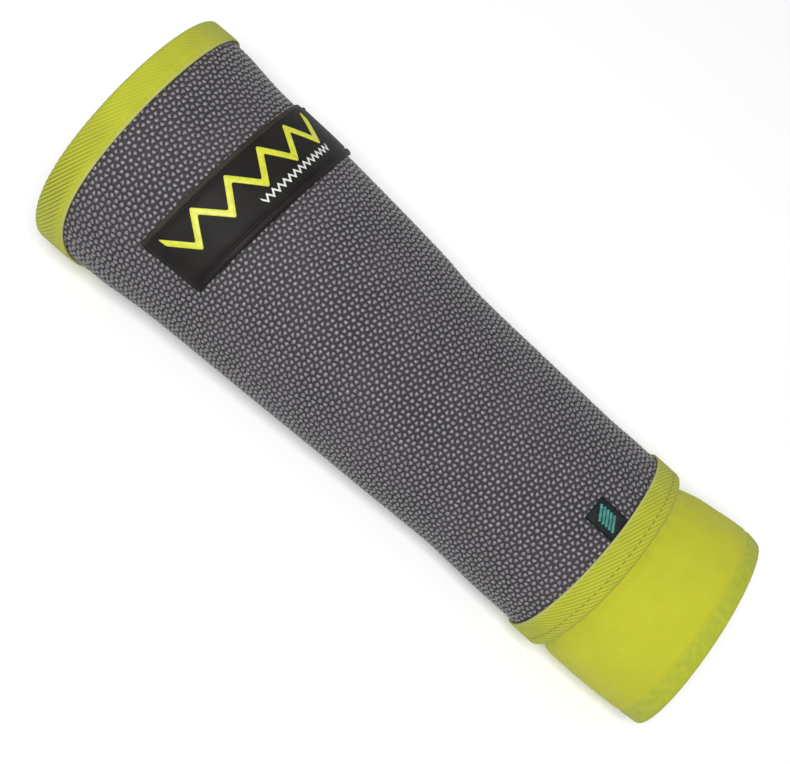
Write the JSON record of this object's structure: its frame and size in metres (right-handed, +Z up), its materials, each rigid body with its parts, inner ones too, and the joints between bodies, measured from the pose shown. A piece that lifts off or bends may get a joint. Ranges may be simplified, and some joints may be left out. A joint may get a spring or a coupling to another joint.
{
  "type": "cut resistant sleeve",
  "caption": "Protective forearm sleeve: a tapering tube of guard cloth with taped ends, a knitted wrist cuff, a rubber patch and a small woven tab.",
  "frame": {"origin": "centre of the bounding box, on the surface that the sleeve lies on", "axes": "+X along the sleeve towards the wrist, +Y across it to its back side, +Z up"},
  "size_m": [0.3046, 0.1094, 0.0891],
  "materials": {
    "guard_cloth": "dark grey cloth covered with small hard light grey plates",
    "binding_tape": "lime twill tape with diagonal ridges, matt",
    "cuff_knit": "fine lime knit, matt",
    "patch_rubber": "moulded black rubber, satin",
    "tab_cloth": "black woven tab, matt"
  },
  "bodies": {
    "root": {"guard_panel": "guard_cloth", "elbow_binding": "binding_tape", "wrist_binding": "binding_tape", "knit_cuff": "cuff_knit", "label_patch": "patch_rubber", "side_tab": "tab_cloth"}
  },
  "joints": []
}
